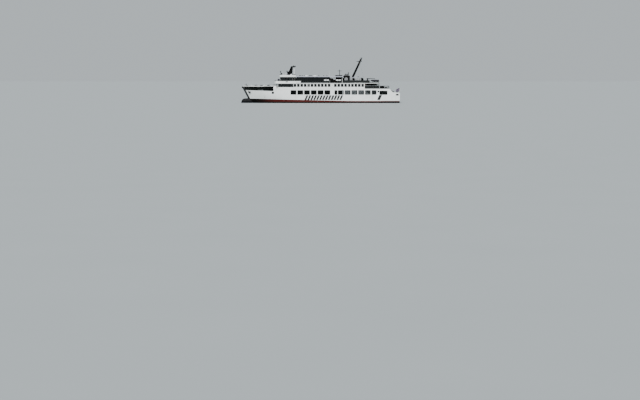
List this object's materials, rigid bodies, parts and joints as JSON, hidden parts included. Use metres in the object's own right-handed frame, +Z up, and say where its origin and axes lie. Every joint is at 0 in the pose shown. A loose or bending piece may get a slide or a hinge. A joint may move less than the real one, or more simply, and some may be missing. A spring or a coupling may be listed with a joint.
{
  "type": "passenger and vehicle ferry, 1:2 scale model",
  "caption": "Coastal passenger and vehicle ferry, 1:2 scale model afloat, with garage deck, saloon, wheelhouse, stern ramp, raked mast, bulbous bow, propellers and rudders.",
  "frame": {"origin": "amidships on the centreline at the waterline", "axes": "+X towards the bow, +Y to port, +Z up"},
  "size_m": [35.8745, 7.39, 11.7143],
  "materials": {
    "white_paint": "semi-gloss, weathered",
    "red_antifouling": "matt",
    "green_deck": "matt non-slip",
    "black_paint": "semi-gloss",
    "grey_steel": "satin",
    "bronze": "satin",
    "tinted_glass": "tinted",
    "dark_cover": "cloth",
    "ensign_cloth": "cloth"
  },
  "bodies": {
    "ship": {"lower_hull": "red_antifouling", "bow_block": "white_paint", "anchor_port": "black_paint", "anchor_starboard": "black_paint", "bow_shell_port": "white_paint", "bow_shell_starboard": "white_paint", "forecastle_deck": "green_deck", "side_shell_port": "white_paint", "side_shell_starboard": "white_paint", "stern_shell": "white_paint", "upper_deck": "green_deck", "saloon_side_port": "white_paint", "saloon_side_starboard": "white_paint", "saloon_front": "white_paint", "saloon_glass": "tinted_glass", "saloon_aft_bulkhead": "white_paint", "boat_deck": "green_deck", "bridge_bulwark": "white_paint", "wheelhouse": "white_paint", "wheelhouse_roof": "white_paint", "lounge_side_port": "black_paint", "lounge_side_starboard": "black_paint", "lounge_glass": "tinted_glass", "lounge_aft_bulkhead": "white_paint", "lounge_roof": "white_paint", "funnel_port": "black_paint", "funnel_starboard": "black_paint", "vent_house": "white_paint", "cowl_vents_port": "black_paint", "cowl_vents_starboard": "black_paint", "aft_mast": "black_paint", "radar_mast": "black_paint", "liferafts_port": "white_paint", "liferafts_starboard": "white_paint", "rescue_boat": "dark_cover", "boat_cradle": "grey_steel", "boat_deck_rail": "white_paint", "side_screen_port": "dark_cover", "side_screen_starboard": "dark_cover", "upper_deck_rail": "white_paint", "forecastle_rail": "white_paint", "windlass": "grey_steel", "deck_locker": "black_paint", "mooring_winch": "grey_steel", "ensign_staff": "white_paint", "ensign": "ensign_cloth"},
    "stern_ramp": {"ramp_panel": "grey_steel"},
    "stern_flap": {"ramp_flap": "grey_steel"},
    "port_propeller": {"propeller_port": "bronze"},
    "starboard_propeller": {"propeller_starboard": "bronze"},
    "port_rudder": {"rudder_port": "red_antifouling"},
    "starboard_rudder": {"rudder_starboard": "red_antifouling"},
    "port_saloon_door": {"saloon_door_port": "white_paint"},
    "starboard_saloon_door": {"saloon_door_starboard": "white_paint"},
    "port_bridge_door": {"bridge_door_port": "white_paint"},
    "starboard_bridge_door": {"bridge_door_starboard": "white_paint"},
    "upper_scanner": {"radar_scanner_upper": "white_paint"},
    "lower_scanner": {"radar_scanner_lower": "white_paint"},
    "davit": {"davit_arm": "grey_steel"}
  },
  "joints": [
    {"name": "ramp_hinge", "type": "hinge", "parent": "ship", "child": "stern_ramp", "pos_m": [-17.51, 0, 1.21], "axis": [0, -1, 0], "range_deg": [0, 100]},
    {"name": "flap_hinge", "type": "hinge", "parent": "stern_ramp", "child": "stern_flap", "pos_m": [-17.455, 0, 2.145], "axis": [0, -1, 0], "range_deg": [0, 180]},
    {"name": "propeller_port_spin", "type": "hinge", "parent": "ship", "child": "port_propeller", "pos_m": [-15.05, 1.65, -0.875], "axis": [1, 0, 0], "continuous": true},
    {"name": "propeller_starboard_spin", "type": "hinge", "parent": "ship", "child": "starboard_propeller", "pos_m": [-15.05, -1.65, -0.875], "axis": [1, 0, 0], "continuous": true},
    {"name": "rudder_port_turn", "type": "hinge", "parent": "ship", "child": "port_rudder", "pos_m": [-16.15, 1.65, -1], "axis": [0, 0, 1], "range_deg": [-35, 35]},
    {"name": "rudder_starboard_turn", "type": "hinge", "parent": "ship", "child": "starboard_rudder", "pos_m": [-16.15, -1.65, -1], "axis": [0, 0, 1], "range_deg": [-35, 35]},
    {"name": "saloon_door_port_hinge", "type": "hinge", "parent": "ship", "child": "port_saloon_door", "pos_m": [-9.68, 2.525, 3.8], "axis": [0, 0, -1], "range_deg": [0, 110]},
    {"name": "saloon_door_starboard_hinge", "type": "hinge", "parent": "ship", "child": "starboard_saloon_door", "pos_m": [-9.68, -2.525, 3.8], "axis": [0, 0, 1], "range_deg": [0, 110]},
    {"name": "bridge_door_port_hinge", "type": "hinge", "parent": "ship", "child": "port_bridge_door", "pos_m": [6.45, 2.805, 5.1], "axis": [0, 0, -1], "range_deg": [0, 110]},
    {"name": "bridge_door_starboard_hinge", "type": "hinge", "parent": "ship", "child": "starboard_bridge_door", "pos_m": [6.45, -2.805, 5.1], "axis": [0, 0, 1], "range_deg": [0, 110]},
    {"name": "upper_scanner_spin", "type": "hinge", "parent": "ship", "child": "upper_scanner", "pos_m": [6.3, 0, 8.35], "axis": [0, 0, 1], "continuous": true},
    {"name": "lower_scanner_spin", "type": "hinge", "parent": "ship", "child": "lower_scanner", "pos_m": [7.8, 0, 7.15], "axis": [0, 0, 1], "continuous": true},
    {"name": "davit_slew", "type": "hinge", "parent": "ship", "child": "davit", "pos_m": [-10.35, 2.45, 5.2], "axis": [0, 0, -1], "range_deg": [0, 110]}
  ]
}
